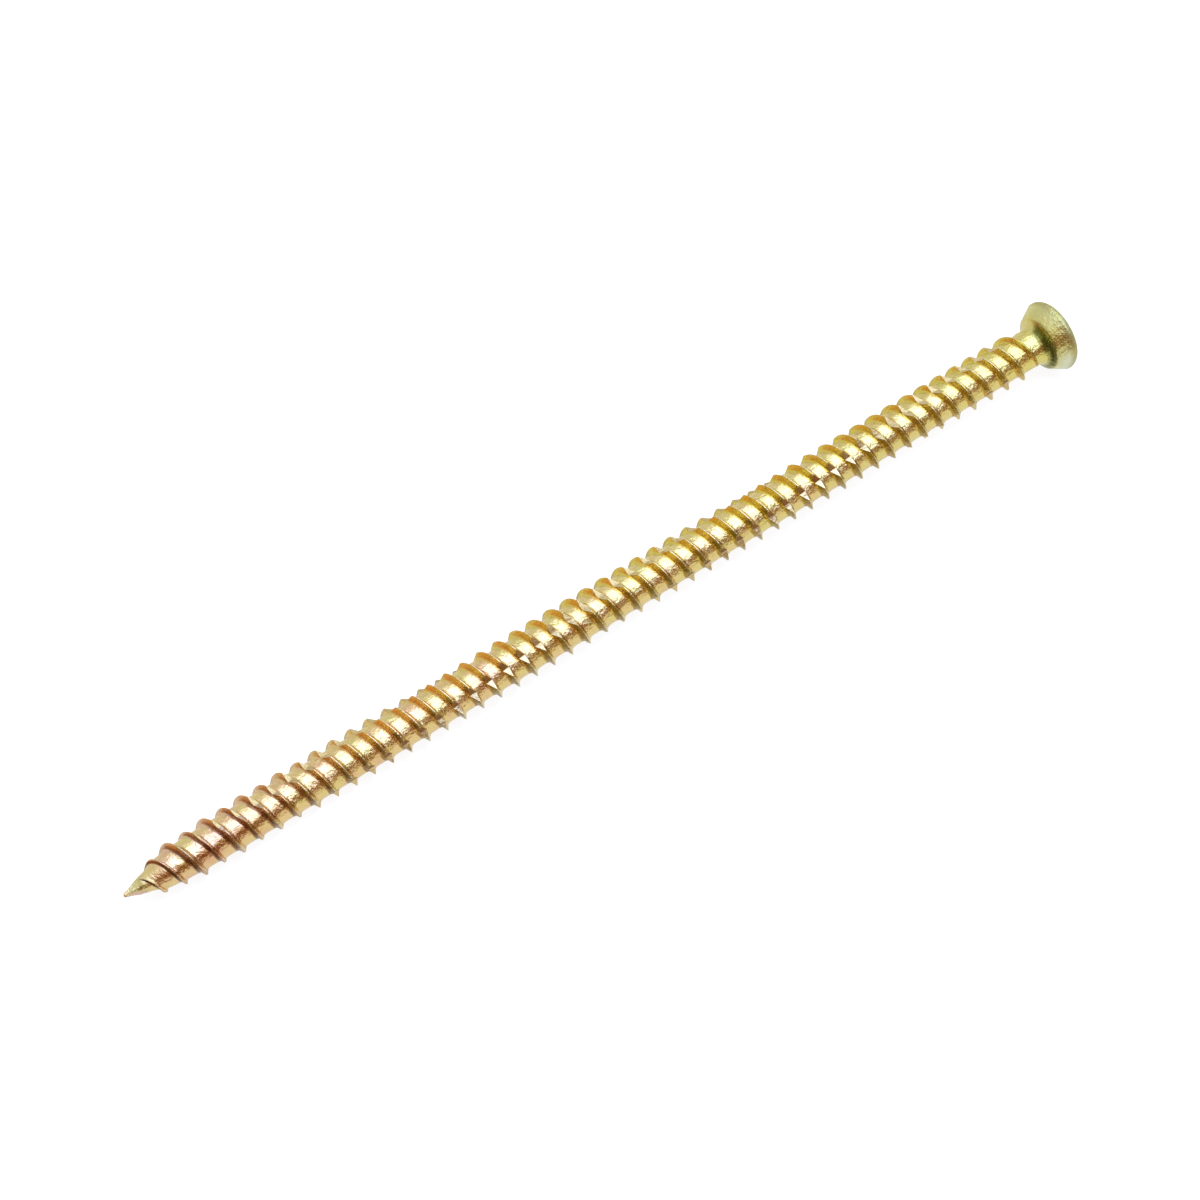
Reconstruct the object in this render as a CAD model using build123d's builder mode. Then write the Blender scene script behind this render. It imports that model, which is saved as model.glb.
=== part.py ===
from build123d import *
import math
import os

# Countersunk frame screw with a two-start, chip-notched thread, forged and rolled from one piece.
# It is drawn along its own axis, with the point at the origin and the head at the far end,
# and is then laid on its side, where it rests on the rim of its head and on a thread crest.

# Head
head_diameter = 11.5          # across the rim
head_top = 168.9              # length over all, from the point to the flat top
rim_height = 167.7            # station where the rim reaches its full diameter
rim_round = 1.15              # rounding of the rim, measured across the axis
seat_height = 165.5           # station of the edge between the neck flare and the seat
seat_radius = 4.6             # radius of that edge
neck_start = 160.4            # the shank is plain and round from here
neck_end = 163.0              # station where the neck starts to flare
flare_lead = 0.92             # how slowly the flare leaves the neck

# Six-lobed drive recess
drive_across = 5.6            # across two opposite lobes
drive_waist = 4.0             # across two opposite hollows
drive_depth = 3.2
drive_hollow = 1.0            # radius of the hollows between the lobes
drive_bevel = 0.2             # broken corners between the hollows and the lobes

# Core of the shank and point
core_radius = 2.85
core_start = 18.0             # full core from here
point_length = 3.8            # slender point
point_radius = 1.42           # radius where the slender point ends
point_tip_radius = 0.34       # blunted end of the point
point_mid = 1.9               # the point bulges a little here
point_mid_radius = 0.93
shoulder_height = 6.6         # the core swells from the point up to here
shoulder_radius = 2.37
shoulder_top = 10.3           # from here it grows slowly to the full core
shoulder_top_radius = 2.68

# Thread
thread_diameter = 7.5
crest_spacing = 3.156         # from one crest to the next, along the axis
starts = 2
ridge_width = 1.3             # width of a ridge where it leaves the core
ridge_sink = 0.3              # a ridge is let into the core by this much
front_crest = 6.93            # station where the first ridge crosses the front line
ridge_birth = 3.3             # the ridges rise out of the point here
birth_crest_radius = 1.3
ridge_knee = 5.4              # from here they rise more slowly
knee_crest_radius = 2.7
thread_start = 13.0           # full crest radius from here
thread_end = 160.0            # from here the ridges run out
runout_length = 3.2
runout_drop = 1.0             # the crests fall by this much over the run-out

# Chip notches, in winding rows across the ridges
notch_rows = 3
notch_half_angle = 22.0       # a notch takes this much of a turn to either side of its floor
notch_floor_rise = 0.13       # a notch stops short of the core by this much
notch_drift = 2.07            # degrees of turn that a row loses over each millimetre
notch_front = 68.4            # station where the floor of one row crosses the front line
notch_start = 6.0             # the first notches are made here
notch_end = 160.5
notch_clearance = 0.6         # the cutter stands out past the crests by this much

# The threaded length is made of flat spans, so that its many turns stay light
spans_per_turn = 16
notch_stretch = 9.5           # length of a straight stretch of a notch row

# Attitude at rest
front_roll = 30.0             # the front line stands this far from straight up

# What follows from the sizes above
crest_radius = thread_diameter / 2
crest_height = crest_radius - core_radius
head_radius = head_diameter / 2
lead = starts * crest_spacing
flank_slope = ridge_width / 2 / crest_height
station_step = lead / spans_per_turn


def between(station, *corners):
    """Radius at a station on the straight lines through the corners."""
    for (low, low_radius), (high, high_radius) in zip(corners, corners[1:]):
        if station <= high:
            share = (max(station, low) - low) / (high - low)
            return low_radius + share * (high_radius - low_radius)
    return corners[-1][1]


def core_at(station):
    """Radius of the core under the thread."""
    return between(
        station,
        (ridge_birth, birth_crest_radius),
        (point_length, point_radius),
        (shoulder_height, shoulder_radius),
        (shoulder_top, shoulder_top_radius),
        (core_start, core_radius),
    )


def crest_at(station):
    """Radius of the crests before they are notched."""
    return between(
        station,
        (ridge_birth, birth_crest_radius),
        (ridge_knee, knee_crest_radius),
        (thread_start, crest_radius),
        (thread_end, crest_radius),
        (thread_end + runout_length, crest_radius - runout_drop),
    )


def thread_ridge(start):
    """One ridge of the thread, from the point to the end of its run-out."""
    first = math.ceil((ridge_birth - front_crest) / station_step)
    last = math.floor((thread_end + runout_length - front_crest) / station_step)
    with BuildPart() as ridge:
        for step in range(first, last + 1):
            station = front_crest + step * station_step
            turn = math.radians(step * 360.0 / spans_per_turn + start * 360.0 / starts)
            foot = core_at(station) - ridge_sink
            crest = crest_at(station)
            half_width = flank_slope * (crest - foot)
            section = Plane(
                origin=(0, 0, station),
                x_dir=(math.cos(turn), math.sin(turn), 0),
                z_dir=(math.sin(turn), -math.cos(turn), 0),
            )
            with BuildSketch(section):
                with BuildLine():
                    Polyline((foot, -half_width), (crest, 0), (foot, half_width), close=True)
                make_face()
        loft(ruled=True)
    return ridge.part


def notch_row(row):
    """Cutter for one row of notches: a shallow vee that winds slowly round the screw."""
    stretches = math.ceil((notch_end - notch_start) / notch_stretch)
    side = math.radians(notch_half_angle)
    with BuildPart() as cutter:
        for step in range(stretches + 1):
            station = notch_start + step * (notch_end - notch_start) / stretches
            floor = core_at(station) + notch_floor_rise
            side_x = crest_at(station) * math.cos(side) - floor
            side_y = crest_at(station) * math.sin(side)
            reach = 1 + notch_clearance / side_x
            turn = row * 360.0 / notch_rows - notch_drift * (station - notch_front)
            with BuildSketch(Plane.XY.offset(station).rotated((0, 0, turn))):
                with BuildLine():
                    Polyline(
                        (floor, 0),
                        (floor + side_x * reach, side_y * reach),
                        (floor + side_x * reach, -side_y * reach),
                        close=True,
                    )
                make_face()
        loft(ruled=True)
    return cutter.part


# Threaded core and point: flat spans that line up with those of the ridges
with BuildPart() as core:
    for station, radius in (
        (0, point_tip_radius),
        (point_mid, point_mid_radius),
        (point_length, point_radius),
        (shoulder_height, shoulder_radius),
        (shoulder_top, shoulder_top_radius),
        (core_start, core_radius),
        (neck_start, core_radius),
    ):
        with BuildSketch(Plane.XY.offset(station)):
            RegularPolygon(radius, spans_per_turn)
    loft(ruled=True)

# Neck and head, turned in one profile
with BuildPart() as head:
    with BuildSketch(Plane.XZ):
        with BuildLine():
            Polyline((0, neck_start), (core_radius, neck_start), (core_radius, neck_end))
            Bezier(
                (core_radius, neck_end),
                (core_radius, neck_end + flare_lead),
                (seat_radius, seat_height),
            )
            Line((seat_radius, seat_height), (head_radius, rim_height))
            EllipticalCenterArc(
                (head_radius - rim_round, rim_height),
                rim_round,
                head_top - rim_height,
                start_angle=0,
                arc_size=90,
            )
            Polyline((head_radius - rim_round, head_top), (0, head_top), (0, neck_start))
        make_face()
    revolve(axis=Axis.Z)

# Both ridges of the thread, with their notches
with BuildPart() as thread:
    add([thread_ridge(start) for start in range(starts)])
    add([notch_row(row) for row in range(notch_rows)], mode=Mode.SUBTRACT)

# The whole screw, standing on its point
with BuildPart() as upright:
    add([core.part, head.part, thread.part])

    # Drive recess
    with BuildSketch(Plane.XY.offset(head_top)) as drive:
        Circle(drive_across / 2)
        with PolarLocations(drive_waist / 2 + drive_hollow, 6):
            Circle(drive_hollow, mode=Mode.SUBTRACT)
        chamfer(drive.vertices(), drive_bevel)
    extrude(amount=-drive_depth, mode=Mode.SUBTRACT)

# Laid on its side: the rim of the head and the first full crest below touch the ground
down_turn = 180.0 - front_roll
first_below = front_crest + lead * down_turn / 360.0
bearing_crest = first_below + crest_spacing * math.ceil((thread_start - first_below) / crest_spacing)
tilt = math.asin((head_radius - crest_radius) / (rim_height - bearing_crest))
roll = math.radians(front_roll)
lying = Plane(
    origin=(0, 0, 0),
    x_dir=(-math.sin(tilt) * math.cos(roll), -math.sin(roll), math.cos(tilt) * math.cos(roll)),
    z_dir=(math.cos(tilt), 0, math.sin(tilt)),
)
laid = lying.location * upright.part
box = laid.bounding_box()
with BuildPart() as frame_screw:
    with Locations((-(box.min.X + box.max.X) / 2, -(box.min.Y + box.max.Y) / 2, -box.min.Z)):
        add(laid)

os.makedirs("parts", exist_ok=True)
frame_screw.part.label = "frame_screw"
export_step(frame_screw.part, "parts/frame_screw.step")
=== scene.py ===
import bpy
import math
from mathutils import Matrix, Vector, noise


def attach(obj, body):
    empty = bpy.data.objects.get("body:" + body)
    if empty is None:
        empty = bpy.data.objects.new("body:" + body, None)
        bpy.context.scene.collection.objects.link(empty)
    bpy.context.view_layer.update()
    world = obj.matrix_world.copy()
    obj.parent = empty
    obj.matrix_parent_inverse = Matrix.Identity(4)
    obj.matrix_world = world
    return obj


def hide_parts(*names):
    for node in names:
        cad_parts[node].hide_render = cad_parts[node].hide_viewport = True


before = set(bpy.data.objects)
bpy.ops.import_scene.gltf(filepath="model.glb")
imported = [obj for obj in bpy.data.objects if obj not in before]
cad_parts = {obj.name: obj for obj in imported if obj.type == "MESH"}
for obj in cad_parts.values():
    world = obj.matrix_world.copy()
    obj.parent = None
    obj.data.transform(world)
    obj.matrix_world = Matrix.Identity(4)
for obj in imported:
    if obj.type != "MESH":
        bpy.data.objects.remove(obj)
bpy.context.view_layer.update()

# A countersunk frame screw with a two-start, chip-notched thread, lying on its side.
# Stations run along its axis from the point. Stations and radii are in millimetres.
# Angles are in degrees round the axis, from the front line, which faces the camera.
MM = 0.001

# Shank, thread and head
CORE = 2.85
CREST = 3.75
HEIGHT = CREST - CORE
STARTS = 2
SPACING = 3.156                   # one crest to the next, along the axis
LEAD = STARTS * SPACING
FRONT_CREST = 6.93                # a crest of the first ridge on the front line
THREAD_LOW = 2.9                  # plain rings below here
THREAD_HIGH = 163.75              # and above here
HEAD_R = 5.75
RIM = 167.7                       # the seat ends here and the rounded rim starts
TOP = 168.9

# Notches: two straight faces, the wall and the ramp, meet on the floor of each.
# Three rows of them drift round the screw, and the columns of the mesh drift with them.
NOTCH_ROWS = 3
ROW_ANGLE = 360 / NOTCH_ROWS
NOTCH_WALL = -45.0                # the wall starts here, in degrees from the ramp's end
NOTCH_FLOOR = -22.0
HUMP = ROW_ANGLE + NOTCH_WALL     # from the ramp's end to the next wall
DRIFT = 2.07                      # degrees lost over each millimetre
DRIFT_REF = 79.04                 # each column stands at its own angle here
FLOOR_RISE = 0.07                 # a floor stops short of the core by this much
NOTCH_LAST = 158.3                # no notch from here on

# Changes near the point, each as (station, value)
NOTCH_DEPTH = ((8.0, 0.0), (14.0, 0.45), (22.0, 0.8), (30.0, 1.0))
BLUNT = ((3.0, 0.05), (5.0, 0.20), (7.0, 0.14), (9.0, 0.0))
SOFT = ((3.0, 0.95), (6.0, 0.90), (9.0, 0.60), (14.0, 0.25), (20.0, 0.0))
ROW_BEND = ((3.0, -30.0), (5.5, -29.0), (10.0, -24.0), (16.0, -13.0), (24.0, 0.0))

# Radius of the core by station
CORE_LINE = (
    (0.0, 0.28), (0.3, 0.36), (0.8, 0.49), (1.4, 0.70), (2.1, 1.00), (2.8, 1.22), (3.6, 1.40),
    (4.3, 1.56), (5.2, 1.95), (6.2, 2.30), (7.2, 2.42), (8.6, 2.56), (10.3, 2.69), (13.6, 2.80),
    (18.0, CORE), (160.4, CORE), (162.0, 2.9), (170.0, 2.9),
)

# Radius of the crests by station. One start stands lower than the other near the point.
RUN_OUT = ((159.6, CREST), (161.3, 3.62), (163.2, 2.95), (164.0, 2.9))
CREST_LINES = (
    ((3.1, 1.30), (4.2, 1.85), (5.4, 2.50), (6.9, 2.86), (8.6, 3.14), (11.7, 3.38), (14.9, 3.46),
     (18.0, 3.55), (24.3, 3.60), (30.0, 3.62), (36.0, CREST)) + RUN_OUT,
    ((3.1, 1.30), (4.2, 1.90), (5.4, 2.62), (6.9, 3.05), (8.6, 3.42), (11.7, 3.58), (14.9, 3.70),
     (18.0, CREST)) + RUN_OUT,
)

# Half sections of a ridge, as (distance from the crest, share of the height)
TIP_SIDE = (
    (0.045, 1.0), (0.18, 0.74), (0.31, 0.475), (0.44, 0.22), (0.56, 0.075), (0.74, 0.018),
    (1.0, 0.0),
)
HEAD_SIDE = (
    (0.045, 1.0), (0.18, 0.745), (0.32, 0.48), (0.46, 0.235), (0.62, 0.105), (0.90, 0.03),
    (1.27, 0.0),
)
VALLEY = SPACING * 0.5 + 0.12     # from a crest to the line between it and the next

# Unevenness, as (size, scale, seed), and the radius where the noise is read
CREST_WAVES = ((0.03, 0.45, 3.0), (0.012, 2.2, 9.0))
CREST_WAVES_R = 3.7
SKIN_WAVES = ((0.010, 0.8, 1.0), (0.004, 3.0, 5.0))
SKIN_WAVES_R = 3.0

# Mesh of the thread
WALL_COLUMNS, RAMP_COLUMNS, HUMP_COLUMNS = 6, 6, 18
CREST_NUMBERS = range(-4, 54)     # every crest that a column can cross, and some to spare
SETTLE_ROUNDS = 12                # rounds in which a station settles
MARGIN = 3.0                      # crests up to this far outside the thread are tried too
END_GAP = 0.02                    # the thread keeps this far from the plain rings
LEAST_HEIGHT = 0.02
LEAST_WIDTH = 0.35                # as a share of the full width
LEAST_SHARE = 0.05                # of the height, at a notch
UNCUT_SHARE = 0.985               # with this share of its height a crest has no notch mark
WALL_MARK, RAMP_MARK = 1.0, 0.5   # what the attribute facet says on a notch

# The point: blunted, squared and grooved where it was pinched off
POINT_RINGS = (2.5, 2.1, 1.75, 1.4, 1.1, 0.8, 0.55, 0.3, 0.12, 0.02)
POINT_END, POINT_END_SHARE = 0.12, 0.55     # below this station it is drawn in by this share
SQUARE_OVER = 0.8                 # it turns from round to square over this length
SQUARE_SHARE, SQUARE_ANGLE = 0.78, 25
GROOVE_DEPTH, GROOVE_ANGLE, GROOVE_WIDTH = 0.30, 20, 10

# The flare below the head, as the corners of a Bezier curve, and the seat and rim
FLARE_STATIONS = (162.9, 164.35, 164.85, 165.35)
FLARE_RADII = (2.9, 2.9, 3.3, 4.42)
FLARE_STEPS = 16
FLARE_FROM = 163.9                # the rings of the flare start past here
SEAT_PLACES = (0.03, 0.2, 0.4, 0.6, 0.8, 0.95, 1.0)     # shares of the seat's length
SEAT_BULGE = 0.12
SEAT_INSET = 0.02                 # the seat ends this far inside the rim
RIM_ROUND = 1.15
RIM_STEPS = 9

# The six-lobed recess, with depths below the top
DRIVE_MEAN, DRIVE_LOBE, DRIVE_SHARPEN = 2.36, 0.40, 0.04
TOP_RADII = (4.1, 3.5)
DRIVE_RINGS = (                   # (depth, growth of the outline)
    (0.02, 0.16), (0.14, 0.03), (0.5, 0.0), (1.4, 0.0), (2.4, 0.0), (3.1, 0.0), (3.2, -0.12),
)
BOTTOM_RINGS = ((3.5, 1.2), (3.65, 0.5))                # (depth, radius)
DRIVE_BOTTOM = 3.7

# At rest the rim and a crest near the point touch the floor
CONTACT = 15.872                  # station of that crest
TILT = math.asin((HEAD_R - CREST) / (RIM - CONTACT))
ROLL = math.radians(30.0)         # the front line stands this far from straight up
AXIS = Vector((math.cos(TILT), 0, math.sin(TILT)))
FRONT = Vector((
    -math.sin(TILT) * math.cos(ROLL), -math.sin(ROLL), math.cos(TILT) * math.cos(ROLL),
))
SIDE = AXIS.cross(FRONT)
TIP = Vector((-84.4707, 0, 3.5404))
SHARP_ANGLE = math.radians(38)    # edges sharper than this are shaded as edges


def between(x, corners):
    """Value at x on the straight lines through the corners."""
    if x <= corners[0][0]:
        return corners[0][1]
    for (a, va), (b, vb) in zip(corners, corners[1:]):
        if x <= b:
            return va + (vb - va) * (x - a) / (b - a)
    return corners[-1][1]


def turn_at(theta, t):
    """Angle at a station of the column that stands at theta."""
    return theta - DRIFT * (t - DRIFT_REF) + between(t, ROW_BEND)


def crossing(theta, number, offset=0.0):
    """Station where a column crosses a crest, or the line at an offset from it."""
    on_front = FRONT_CREST + number * SPACING + offset
    t = on_front
    for _ in range(SETTLE_ROUNDS):
        t = on_front + LEAD / 360 * turn_at(theta, t)
    return t


def unevenness(waves, radius, phi, t):
    """Small change of a radius, from smooth noise."""
    a = math.radians(phi)
    p = Vector((math.cos(a) * radius, math.sin(a) * radius, t))
    return sum(
        size * noise.noise(Vector((p.x * scale + seed, p.y * scale, p.z * scale)))
        for size, scale, seed in waves
    )


def chord(delta, low, high):
    """Radius on the faces of a notch, at delta degrees from the ramp's end.

    Each face is the straight line from the floor, at the low radius, to the high one.
    """
    a = math.radians(delta - NOTCH_FLOOR)
    end = math.radians((0 if delta > NOTCH_FLOOR else NOTCH_WALL) - NOTCH_FLOOR)
    x1, y1, x2, y2 = low, 0.0, high * math.cos(end), high * math.sin(end)
    return (x1 * y2 - x2 * y1) / ((y2 - y1) * math.cos(a) - (x2 - x1) * math.sin(a))


def notched(half, share):
    """A half section cut off at a share of its height."""
    out = []
    for u, p in half:
        if p <= 0 or share >= 1:
            out.append((u, p))
            continue
        q = p * share
        for (ua, pa), (ub, pb) in zip(half, half[1:]):
            if pb <= q:
                out.append((ua + (ub - ua) * (pa - q) / (pa - pb), q))
                break
    return out


def section(share, width, soft, blunt):
    """A ridge from its foot on the tip side to the valley beyond it.

    Each place is (distance from the crest, share of the height, side: -1 tip, 1 head).
    """
    half_sections = [(-u, p, -1.0) for u, p in reversed(notched(TIP_SIDE, share))]
    half_sections += [(u, p, 1.0) for u, p in notched(HEAD_SIDE, share)]
    out = []
    for u, p, side in half_sections:
        p += soft * p * (1 - p)
        out.append(((u + blunt * p * side) * width, p, side if p > 0 else 0.0))
    return out + [(VALLEY, 0.0, 0.0)]


def notch_share(delta, t, low, top):
    """Share of its height that a crest keeps."""
    if not NOTCH_WALL <= delta <= 0 or t >= NOTCH_LAST:
        return 1.0
    height = max(top - low, LEAST_HEIGHT)
    share = (chord(delta, low + FLOOR_RISE * height / HEIGHT, top) - low) / height
    return 1 - (1 - max(LEAST_SHARE, min(1.0, share))) * between(t, NOTCH_DEPTH)


def spread(first, last, count):
    """Evenly spread places from the first up to the last, without the last."""
    return [first + n * (last - first) / count for n in range(count)]


# Columns of the mesh: their angle, and their place in the pattern of notches
pattern = spread(NOTCH_WALL, NOTCH_FLOOR, WALL_COLUMNS)
pattern += spread(NOTCH_FLOOR, 0.0, RAMP_COLUMNS)
pattern += spread(0.0, HUMP, HUMP_COLUMNS)
columns = [(row * ROW_ANGLE + delta, delta) for row in range(NOTCH_ROWS) for delta in pattern]
COLS = len(columns)

verts, faces = [], []
marks = {"rise": [], "flank": [], "facet": [], "along": []}


def put(t, phi, r, rise=0.0, flank=0.0, facet=0.0):
    """A vertex, with what the material reads: the height on a ridge, its side, the notch
    face and the station. Returns its number."""
    a = math.radians(phi)
    p = Vector((r * math.cos(a), r * math.sin(a), t))
    verts.append((TIP + p.x * FRONT + p.y * SIDE + p.z * AXIS) * MM)
    for name, value in zip(marks, (rise, flank, facet, t)):
        marks[name].append(value)
    return len(verts) - 1


def ring(t, radius):
    """A ring of vertices at a station; the radius is a number or a function of the angle."""
    out = []
    for theta, _ in columns:
        phi = turn_at(theta, t)
        out.append(put(t, phi, radius(phi) if callable(radius) else radius))
    return out


def join(lower, upper):
    for k in range(COLS):
        n = (k + 1) % COLS
        faces.append((lower[k], lower[n], upper[n], upper[k]))


# The thread, column by column, with the same rows at every crest
crest_rows = (len(TIP_SIDE) - 1, len(TIP_SIDE))
rows_per_crest = len(TIP_SIDE) + len(HEAD_SIDE) + 1
column_rows = []                  # for each column, the vertex in each row
for theta, delta in columns:
    rows = {}
    for number in CREST_NUMBERS:
        tc = crossing(theta, number)
        if not THREAD_LOW - MARGIN <= tc <= THREAD_HIGH + MARGIN:
            continue
        low = between(tc, CORE_LINE)
        top = between(tc, CREST_LINES[number % STARTS])
        top += unevenness(CREST_WAVES, CREST_WAVES_R, turn_at(theta, tc), tc)
        height = max(top - low, LEAST_HEIGHT)
        width = min(1.0, max(LEAST_WIDTH, height / HEIGHT))
        share = notch_share(delta, tc, low, top)
        facet = 0.0
        if share < UNCUT_SHARE:
            facet = WALL_MARK if delta <= NOTCH_FLOOR else RAMP_MARK
        ridge = section(share, width, between(tc, SOFT), between(tc, BLUNT))
        for j, (u, p, side) in enumerate(ridge):
            t = crossing(theta, number, u)
            if not THREAD_LOW + END_GAP < t < THREAD_HIGH - END_GAP:
                continue
            phi = turn_at(theta, t)
            r = between(t, CORE_LINE) + height * p
            r += unevenness(SKIN_WAVES, SKIN_WAVES_R, phi, t)
            rows[number * rows_per_crest + j] = put(
                t, phi, r, p * height / HEIGHT, side, facet if j in crest_rows else 0.0,
            )
    column_rows.append(rows)

low_ring = ring(THREAD_LOW, between(THREAD_LOW, CORE_LINE))
high_ring = ring(THREAD_HIGH, between(THREAD_HIGH, CORE_LINE))

# Neighbouring columns are joined row by row. One polygon at either end takes the rows that
# only one of them has, up to the plain ring.
rows_per_turn = STARTS * rows_per_crest
for k in range(COLS):
    n = (k + 1) % COLS
    here = column_rows[k]
    beside = column_rows[n]
    if n == 0:
        beside = {row - rows_per_turn: vertex for row, vertex in beside.items()}
    first, last = max(min(here), min(beside)), min(max(here), max(beside))
    for row in range(first, last):
        faces.append((here[row], beside[row], beside[row + 1], here[row + 1]))
    faces.append(
        [low_ring[k], low_ring[n]]
        + [beside[row] for row in range(min(beside), first + 1)]
        + [here[row] for row in range(first, min(here) - 1, -1)]
    )
    faces.append(
        [here[row] for row in range(max(here), last - 1, -1)]
        + [beside[row] for row in range(last, max(beside) + 1)]
        + [high_ring[n], high_ring[k]]
    )


def point_radius(phi, t):
    """Radius of the point: round at the thread, square and grooved at its end."""
    r = between(t, CORE_LINE)
    if t < POINT_END:
        r *= POINT_END_SHARE
    squared = min(1.0, (THREAD_LOW - t) / SQUARE_OVER)
    from_corner = (phi + SQUARE_ANGLE + 45) % 90 - 45
    from_groove = (phi - GROOVE_ANGLE + 180) % 360 - 180
    square = SQUARE_SHARE / math.cos(math.radians(from_corner))
    groove = GROOVE_DEPTH * math.exp(-(from_groove / GROOVE_WIDTH) ** 2)
    return r * (1 - squared + squared * (square - groove))


previous = low_ring
for t in POINT_RINGS:
    current = ring(t, lambda phi: point_radius(phi, t))
    join(current, previous)
    previous = current
apex = put(0.0, 0, 0.0)
for k in range(COLS):
    faces.append((apex, previous[(k + 1) % COLS], previous[k]))


def drive(phi, grow):
    """Outline of the six-lobed recess."""
    a = math.radians(6 * phi)
    return DRIVE_MEAN + grow + DRIVE_LOBE * math.cos(a) + DRIVE_SHARPEN * math.cos(2 * a)


def bezier(corners, s):
    weights = ((1 - s) ** 3, 3 * s * (1 - s) ** 2, 3 * s * s * (1 - s), s ** 3)
    return sum(weight * corner for weight, corner in zip(weights, corners))


# Neck and head: the flare, the slightly convex seat, the rounded rim, the top, the recess
outline = []
for n in range(1, FLARE_STEPS + 1):
    s = n / FLARE_STEPS
    outline.append((bezier(FLARE_STATIONS, s), bezier(FLARE_RADII, s)))
outline = [(t, r) for t, r in outline if t > FLARE_FROM]
seat, seat_r = FLARE_STATIONS[-1], FLARE_RADII[-1]
for s in SEAT_PLACES:
    cone = seat_r + (HEAD_R - SEAT_INSET - seat_r) * s
    outline.append((seat + (RIM - seat) * s, cone + SEAT_BULGE * s * (1 - s)))
for n in range(1, RIM_STEPS + 1):
    a = math.radians(90 * n / RIM_STEPS)
    outline.append((
        RIM + (TOP - RIM) * math.sin(a), HEAD_R - RIM_ROUND + RIM_ROUND * math.cos(a),
    ))
outline += [(TOP, r) for r in TOP_RADII]
outline += [(TOP - depth, lambda phi, grow=grow: drive(phi, grow)) for depth, grow in DRIVE_RINGS]
outline += [(TOP - depth, r) for depth, r in BOTTOM_RINGS]
previous = high_ring
for t, radius in outline:
    current = ring(t, radius)
    join(previous, current)
    previous = current
bottom = put(TOP - DRIVE_BOTTOM, 0, 0.0)
for k in range(COLS):
    faces.append((previous[k], previous[(k + 1) % COLS], bottom))

mesh = bpy.data.meshes.new("frame_screw_skin")
mesh.from_pydata([tuple(v) for v in verts], [], faces)
mesh.validate()
for name, values in marks.items():
    mesh.attributes.new(name, "FLOAT", "POINT").data.foreach_set("value", values)
mesh.update()
screw = bpy.data.objects.new("frame_screw_skin", mesh)
bpy.context.scene.collection.objects.link(screw)
mesh.shade_smooth()
mesh.set_sharp_from_angle(angle=SHARP_ANGLE)
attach(screw, "root")
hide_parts("frame_screw")


class Shader:
    """The node tree of a material or world, emptied, with short ways to fill it."""

    def __init__(self, owner):
        owner.use_nodes = True
        self.tree = owner.node_tree
        self.tree.nodes.clear()

    def add(self, kind, **values):
        """A node; a value goes to the input of its name, or else to the setting."""
        made = self.tree.nodes.new("ShaderNode" + kind)
        for key, value in values.items():
            if key in made.inputs:
                made.inputs[key].default_value = value
            else:
                setattr(made, key, value)
        return made

    def feed(self, value, socket):
        """Links another node's output to a socket, or sets a number or a colour on it."""
        if isinstance(value, bpy.types.NodeSocket):
            self.tree.links.new(value, socket)
        else:
            socket.default_value = (*value, 1) if isinstance(value, tuple) else value

    def ramp(self, value, stops):
        """Colours along a value, each stop as (position, colour)."""
        made = self.add("ValToRGB")
        elements = made.color_ramp.elements
        for element, (position, colour) in ((elements[0], stops[0]), (elements[1], stops[-1])):
            element.position, element.color = position, (*colour, 1)
        for position, colour in stops[1:-1]:
            elements.new(position).color = (*colour, 1)
        self.feed(value, made.inputs[0])
        return made.outputs["Color"]

    def mask(self, value, *stops):
        """Greys along a value, each stop as (position, shade)."""
        return self.ramp(value, [(position, (shade,) * 3) for position, shade in stops])

    def mix(self, share, first, second, mode="MIX"):
        made = self.add("Mix", data_type="RGBA", blend_type=mode)
        for value, index in ((share, 0), (first, 6), (second, 7)):
            self.feed(value, made.inputs[index])
        return made.outputs[2]

    def maths(self, operation, first, second, clamp=False):
        made = self.add("Math", operation=operation, use_clamp=clamp)
        self.feed(first, made.inputs[0])
        self.feed(second, made.inputs[1])
        return made.outputs[0]

    def times(self, first, second):
        return self.maths("MULTIPLY", first, second)

    def plus(self, first, second):
        return self.maths("ADD", first, second)

    def from_signed(self, value):
        """A value from -1 to 1, brought to 0 to 1."""
        return self.plus(self.times(value, 0.5), 0.5)

    def smooth(self, value, start, end):
        """0 at the start and 1 at the end, with a soft change between them."""
        made = self.add("MapRange", interpolation_type="SMOOTHSTEP")
        self.feed(value, made.inputs["Value"])
        made.inputs["From Min"].default_value = start
        made.inputs["From Max"].default_value = end
        return made.outputs[0]

    def split(self, vector):
        made = self.add("SeparateXYZ")
        self.feed(vector, made.inputs[0])
        return made.outputs

    def noise(self, kind, vector):
        scale, detail, roughness = kind
        made = self.add("TexNoise", Scale=scale, Detail=detail, Roughness=roughness)
        self.feed(vector, made.inputs["Vector"])
        return made.outputs["Fac"]

    def for_camera(self, seen, otherwise):
        """One shader for what the camera sees directly, and another for all other rays."""
        made = self.add("MixShader")
        self.feed(self.add("LightPath").outputs["Is Camera Ray"], made.inputs[0])
        self.feed(otherwise.outputs[0], made.inputs[1])
        self.feed(seen.outputs[0], made.inputs[2])
        return made


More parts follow.
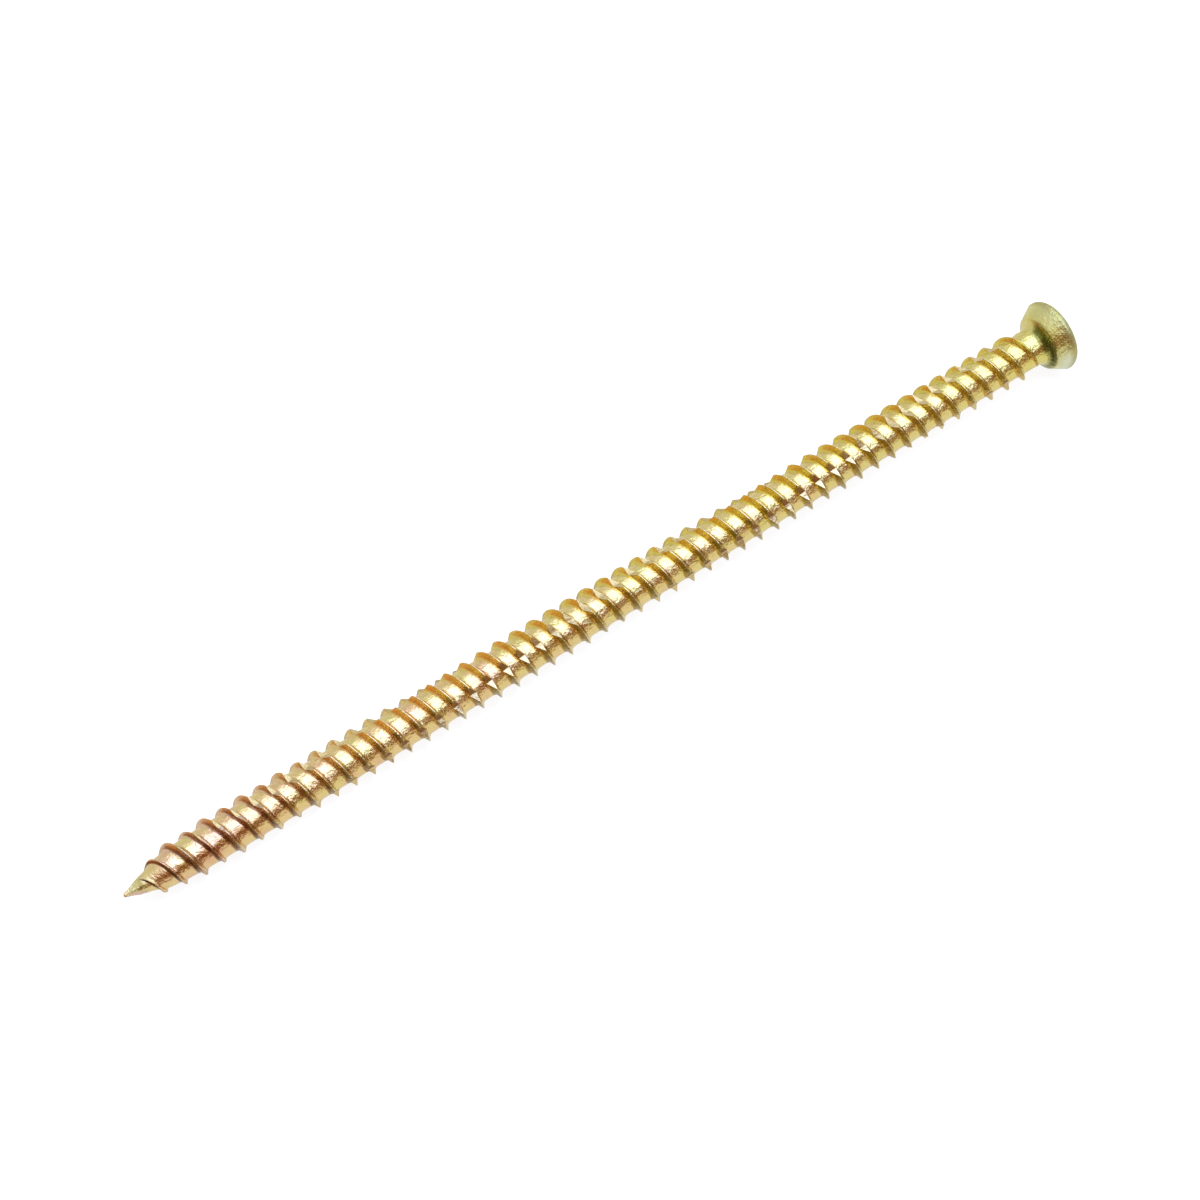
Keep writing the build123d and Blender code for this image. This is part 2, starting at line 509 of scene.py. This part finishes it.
# Tints of the coating along the screw, as (share of its length, colour): coppery near the
# point, golden in the middle and greener at the head
COAT_LENGTH = 169.0
CORE_TINTS = (
    (0.0, (0.72, 0.65, 0.30)), (0.016, (0.76, 0.66, 0.30)), (0.024, (0.88, 0.62, 0.34)),
    (0.12, (0.90, 0.65, 0.29)), (0.4, (0.90, 0.68, 0.29)), (0.85, (0.86, 0.70, 0.26)),
    (0.955, (0.84, 0.70, 0.20)), (0.975, (0.78, 0.69, 0.22)), (1.0, (0.66, 0.68, 0.36)),
)
FLANK_OUTER_TINTS = (
    (0.0, (0.84, 0.60, 0.40)), (0.12, (0.84, 0.56, 0.34)), (0.24, (0.86, 0.62, 0.20)),
    (0.5, (0.80, 0.64, 0.10)), (1.0, (0.78, 0.64, 0.12)),
)
# Painted shade and reflected colour for the ridges' sides where they face the camera's side
FLANK_SHADED_SIDE_TINTS = (
    (0.0, (0.26, 0.12, 0.08)), (0.12, (0.32, 0.13, 0.07)), (0.25, (0.70, 0.35, 0.09)),
    (0.5, (0.78, 0.45, 0.06)), (0.65, (0.76, 0.52, 0.05)), (0.85, (0.70, 0.45, 0.06)),
    (1.0, (0.64, 0.42, 0.08)),
)
# Painted shade: tones that darken the ridges' sides where they face sideways or down
FLANK_LOW_SHADE = (
    (0.1, (0.74, 0.68, 0.48)), (0.22, (0.48, 0.50, 0.42)), (0.5, (0.48, 0.48, 0.34)),
    (0.7, (0.54, 0.46, 0.26)), (0.85, (0.62, 0.53, 0.30)), (0.93, (0.95, 0.84, 0.52)),
)
RAMP_TINTS = ((0.10, (0.50, 0.34, 0.20)), (0.22, (0.76, 0.62, 0.32)))
# Painted shade: a darker band on the rim that dims its highlight
RIM_SHADE_TONES = (
    (0.9905, (1.0, 1.0, 1.0)), (0.9925, (0.74, 0.70, 0.56)),
    (0.996, (0.74, 0.70, 0.56)), (0.9985, (1.0, 1.0, 1.0)),
)

# Painted shade on the notches' walls: darker the less they face up
WALL_SHADE_TINTS = ((0.74, (0.32, 0.15, 0.045)), (0.92, (0.70, 0.52, 0.20)))

# Single tints, and tones that multiply what is there
GREEN_CLOUDS = (0.82, 0.75, 0.23)
ROSY_CLOUDS = (0.84, 0.48, 0.28)
CREST_TINT = (0.82, 0.70, 0.48)
# Painted reflection: the seat's paler tint where it faces sideways or down
SEAT_LOW_REFLECTION_TINT = (0.76, 0.80, 0.60)
# Painted reflection: pink for the point where it faces sideways or down
POINT_LOW_REFLECTION_TINT = (0.80, 0.52, 0.42)
# Painted shade for the hollow under the head
HOLLOW_SHADE = (0.24, 0.28, 0.16)
# Painted shade for the first turns, where they face the camera's side
FIRST_TURNS_SHADE = (0.68, 0.52, 0.34)

# Noises of the coating, as (scale, detail, roughness)
GREEN_NOISE = (330.0, 2.0, 0.5)
PINK_NOISE = (240.0, 3.0, 0.55)
GLOSS_NOISE = (900.0, 4.0, 0.6)

# Wrinkles of the coating, as (noise, depth in millimetres)
WRINKLES = (
    ((3400.0, 4.0, 0.55), 0.065), ((1400.0, 3.0, 0.55), 0.18), ((420.0, 2.0, 0.55), 0.12),
)

FLANK_SHARE = 0.9                 # how much of the ridges' own tint covers their sides
LEAST_ROUGHNESS = 0.10
NOISE_ROUGHNESS = 0.20            # added at most by the noise
NOTCH_ROUGHNESS = 0.25            # added on the walls of the notches, half of it on the ramps
RIM_ROUGHNESS = 0.28              # added on the rim

plated = bpy.data.materials.new("plated_steel_yellow")
steel = Shader(plated)
coords = steel.add("TexCoord").outputs["Object"]
rise, flank, facet, along = (
    steel.add("Attribute", attribute_name=name).outputs["Fac"] for name in marks
)
place = steel.maths("DIVIDE", along, COAT_LENGTH)
facing = steel.split(steel.add("NewGeometry").outputs["Normal"])
behind_side = steel.from_signed(facing["Y"])    # 0 towards the camera's side, 1 behind
upward = steel.from_signed(facing["Z"])         # 0 straight down, 1 straight up

# The core, with clouds in the coating
core_tint = steel.ramp(place, CORE_TINTS)
green = steel.mask(steel.noise(GREEN_NOISE, coords), (0.44, 0.0), (0.64, 0.55))
core_tint = steel.mix(green, core_tint, GREEN_CLOUDS)
pink = steel.mask(steel.noise(PINK_NOISE, coords), (0.50, 0.0), (0.66, 0.75))
rosy_place = steel.mask(place, (0.0, 1.0), (0.25, 0.75), (0.6, 0.4), (1.0, 0.1))
core_tint = steel.mix(steel.times(pink, rosy_place), core_tint, ROSY_CLOUDS)

# The ridges' sides towards the point: near their foot, where they face the camera's side, a
# darker, more orange tint, painted shade and reflected colour; where they face sideways or down,
# painted shade darkens them
near_foot = steel.mask(rise, (0.30, 1.0), (0.95, 0.0))
camera_side = steel.mask(behind_side, (0.53, 1.0), (0.66, 0.0))
flank_tint_and_shade = steel.mix(
    steel.times(near_foot, camera_side),
    steel.ramp(place, FLANK_OUTER_TINTS),
    steel.ramp(place, FLANK_SHADED_SIDE_TINTS),
)
low_faces = steel.mask(upward, (0.60, 1.0), (0.72, 0.0))
flank_tint_and_shade = steel.mix(low_faces, flank_tint_and_shade, steel.ramp(place, FLANK_LOW_SHADE), "MULTIPLY")
tip_flank = steel.maths("MULTIPLY", flank, -1.0, clamp=True)
colour = steel.mix(steel.times(tip_flank, FLANK_SHARE), core_tint, flank_tint_and_shade)

# The crests, and the two faces of the notches
colour = steel.mix(steel.mask(rise, (0.86, 0.0), (0.98, 0.5)), colour, CREST_TINT)
ramp_faces = steel.mask(facet, (0.1, 0.0), (0.45, 0.85))
colour = steel.mix(ramp_faces, colour, steel.ramp(place, RAMP_TINTS))
# The walls of the notches get painted shade, darker the less they face up
wall_faces = steel.mask(facet, (0.55, 0.0), (0.95, 1.0))
colour = steel.mix(wall_faces, colour, steel.ramp(upward, WALL_SHADE_TINTS))

# Painted shade in the hollow under the head: darker on its front, but not low down where it
# starts
hollow = steel.mask(place, (0.9694, 0.0), (0.9725, 1.0), (0.9784, 1.0), (0.9788, 0.0))
hollow_start = steel.mask(place, (0.9725, 1.0), (0.975, 0.0))
hollow = steel.times(hollow, steel.maths("SUBTRACT", 1.0, steel.times(hollow_start, low_faces)))
hollow_front = steel.mask(behind_side, (0.53, 1.0), (0.63, 0.0))
colour = steel.mix(steel.times(hollow, hollow_front), colour, HOLLOW_SHADE, "MULTIPLY")

# The seat is paler where it faces sideways or down, a painted reflection; a band of the rim is
# painted darker, painted shade that dims its highlight
low_parts = steel.mask(upward, (0.50, 1.0), (0.70, 0.0))
seat_place = steel.mask(place, (0.979, 0.0), (0.983, 0.8), (0.994, 0.8), (0.997, 0.0))
colour = steel.mix(steel.times(low_parts, seat_place), colour, SEAT_LOW_REFLECTION_TINT)
colour = steel.mix(1.0, colour, steel.ramp(place, RIM_SHADE_TONES), "MULTIPLY")

# The point is pinker where it faces sideways or down, a painted reflection, and painted shade
# deepens the side of the first turns that faces the camera
point_place = steel.mask(place, (0.016, 0.8), (0.022, 0.0))
colour = steel.mix(steel.times(low_parts, point_place), colour, POINT_LOW_REFLECTION_TINT)
shaded = steel.mask(behind_side, (0.08, 0.0), (0.11, 1.0), (0.19, 1.0), (0.23, 0.0))
first_turns = steel.mask(place, (0.02, 0.0), (0.04, 1.0), (0.12, 1.0), (0.2, 0.0))
colour = steel.mix(steel.times(shaded, first_turns), colour, FIRST_TURNS_SHADE, "MULTIPLY")

# The metal: blotches in its gloss, duller in the notches and on the rim, finely wrinkled
bsdf = steel.add("BsdfPrincipled", Metallic=1.0)
steel.feed(colour, bsdf.inputs["Base Color"])
blotches = steel.noise(GLOSS_NOISE, coords)
roughness = steel.plus(steel.times(blotches, NOISE_ROUGHNESS), LEAST_ROUGHNESS)
roughness = steel.plus(roughness, steel.times(facet, NOTCH_ROUGHNESS))
roughness = steel.plus(roughness, steel.mask(place, (0.990, 0.0), (0.993, RIM_ROUGHNESS)))
steel.feed(roughness, bsdf.inputs["Roughness"])
normal = None
for kind, depth in WRINKLES:
    bump = steel.add("Bump", Strength=1.0, Distance=depth * MM)
    steel.feed(steel.noise(kind, coords), bump.inputs["Height"])
    if normal:
        steel.feed(normal, bump.inputs["Normal"])
    normal = bump.outputs[0]
steel.feed(normal, bsdf.inputs["Normal"])
steel.feed(bsdf.outputs[0], steel.add("OutputMaterial").inputs[0])
mesh.materials.append(plated)

# The floor takes the screw's shadow. The metal doesn't mirror it: it mirrors the studio
# below the horizon instead.
FLOOR_REACH = 4.0
floor_mesh = bpy.data.meshes.new("floor")
floor_mesh.from_pydata(
    [(x * FLOOR_REACH, y * FLOOR_REACH, 0) for x, y in ((-1, -1), (1, -1), (1, 1), (-1, 1))],
    [], [(0, 1, 2, 3)],
)
floor = bpy.data.objects.new("floor", floor_mesh)
bpy.context.scene.collection.objects.link(floor)
floor.visible_glossy = False
pale = bpy.data.materials.new("pale_floor")
paint = Shader(pale)
diffuse = paint.add("BsdfDiffuse", Color=(0.86, 0.86, 0.86, 1))
faint = paint.add("BsdfDiffuse", Color=(0.16, 0.16, 0.16, 1))
glow = paint.add("Emission", Color=(1, 1, 1, 1), Strength=0.9)
seen = paint.add("AddShader")
paint.feed(faint.outputs[0], seen.inputs[0])
paint.feed(glow.outputs[0], seen.inputs[1])
paint.feed(paint.for_camera(seen, diffuse).outputs[0], paint.add("OutputMaterial").inputs[0])
floor_mesh.materials.append(pale)

# The studio, whose colour depends on the direction. Each stop is (height, colour), from
# -1 straight down to 1 straight up: the room behind the screw, and the side of the camera.
ROOM_BEHIND = (
    (-1.0, (0.84, 0.84, 0.84)), (-0.12, (0.82, 0.82, 0.76)), (0.05, (0.63, 0.67, 0.70)),
    (0.4, (0.72, 0.72, 0.76)), (1.0, (0.85, 0.85, 0.85)),
)
CAMERA_SIDE = (
    (-1.0, (0.84, 0.84, 0.84)), (-0.06, (0.86, 0.86, 0.84)), (0.02, (0.31, 0.14, 0.035)),
    (0.35, (0.23, 0.095, 0.02)), (0.6, (0.38, 0.22, 0.09)), (0.8, (0.85, 0.80, 0.78)),
    (1.0, (0.9, 0.9, 0.9)),
)
CAMERA_SIDE_START, CAMERA_SIDE_FULL = -0.05, -0.40      # along Y

# Patches in it, as (direction, angle inside which it is full, angle where it ends, colour):
# three beyond the point of the screw, the third of them towards the back, and the softbox
PATCHES = (
    ((-0.92, -0.05, -0.38), 36, 52, (0.22, 0.19, 0.13)),
    ((-0.96, -0.10, 0.20), 14, 30, (0.10, 0.09, 0.06)),
    ((-0.91, 0.37, -0.09), 2, 28, (0.95, 0.47, 0.11)),
    ((0.42, -0.08, 0.90), 16, 47, (1.8, 2.22, 3.8)),
)

world = bpy.data.worlds.new("studio")
bpy.context.scene.world = world
studio = Shader(world)
direction = studio.add("TexCoord").outputs["Generated"]
towards = studio.split(direction)
elevation = studio.from_signed(towards["Z"])


def by_height(stops):
    """Stops from -1 to 1, brought to 0 to 1."""
    return [((z + 1) / 2, colour) for z, colour in stops]


def patch(aim, full, end):
    """1 within the full angle of a direction, 0 from the end angle on."""
    closeness = studio.add("VectorMath", operation="DOT_PRODUCT")
    studio.feed(direction, closeness.inputs[0])
    closeness.inputs[1].default_value = Vector(aim).normalized()
    return studio.smooth(
        closeness.outputs["Value"], math.cos(math.radians(end)), math.cos(math.radians(full)),
    )


sky = studio.mix(
    studio.smooth(towards["Y"], CAMERA_SIDE_START, CAMERA_SIDE_FULL),
    studio.ramp(elevation, by_height(ROOM_BEHIND)),
    studio.ramp(elevation, by_height(CAMERA_SIDE)),
)
for aim, full, end, patch_colour in PATCHES:
    sky = studio.mix(patch(aim, full, end), sky, patch_colour)
background = studio.add("Background", Strength=1.0)
studio.feed(sky, background.inputs[0])
white = studio.add("Background", Color=(1, 1, 1, 1), Strength=1.0)
studio.feed(studio.for_camera(white, background).outputs[0], studio.add("OutputWorld").inputs[0])

# A lamp above, aimed at the middle of the screw, for the shadow; the metal doesn't mirror it
LAMP_PLACE = Vector((0.12, 0.02, 0.75))
LAMP_SIZE = (0.55, 0.42)
LAMP_POWER = 7.0
lamp_data = bpy.data.lights.new("top_softbox", "AREA")
lamp_data.shape = "RECTANGLE"
lamp_data.size, lamp_data.size_y = LAMP_SIZE
lamp_data.energy = LAMP_POWER
lamp = bpy.data.objects.new("top_softbox", lamp_data)
lamp.location = LAMP_PLACE
lamp.rotation_mode = "QUATERNION"
lamp.rotation_quaternion = (-LAMP_PLACE).to_track_quat("-Z", "Y")
lamp.visible_glossy = False
bpy.context.scene.collection.objects.link(lamp)

# The camera, at the photograph's angle
CAMERA_PLACE = (-0.19985577, -0.26912146, 0.46735911)
CAMERA_FORWARD = Vector((0.34704761, 0.47305625, -0.80979981)).normalized()
CAMERA_RIGHT = Vector((0.80629144, -0.59151849, 0)).normalized()
SENSOR_WIDTH = 36
FOCAL_LENGTH = 117.247
NEAREST, FARTHEST = 0.01, 20
camera_data = bpy.data.cameras.new("camera")
camera_data.sensor_width = SENSOR_WIDTH
camera_data.lens = FOCAL_LENGTH
camera_data.clip_start, camera_data.clip_end = NEAREST, FARTHEST
camera = bpy.data.objects.new("camera", camera_data)
bpy.context.scene.collection.objects.link(camera)
bpy.context.scene.camera = camera
camera_axes = Matrix((CAMERA_RIGHT, CAMERA_RIGHT.cross(CAMERA_FORWARD), -CAMERA_FORWARD))
camera.matrix_world = Matrix.Translation(CAMERA_PLACE) @ camera_axes.transposed().to_4x4()

bpy.context.scene.view_settings.view_transform = "Standard"
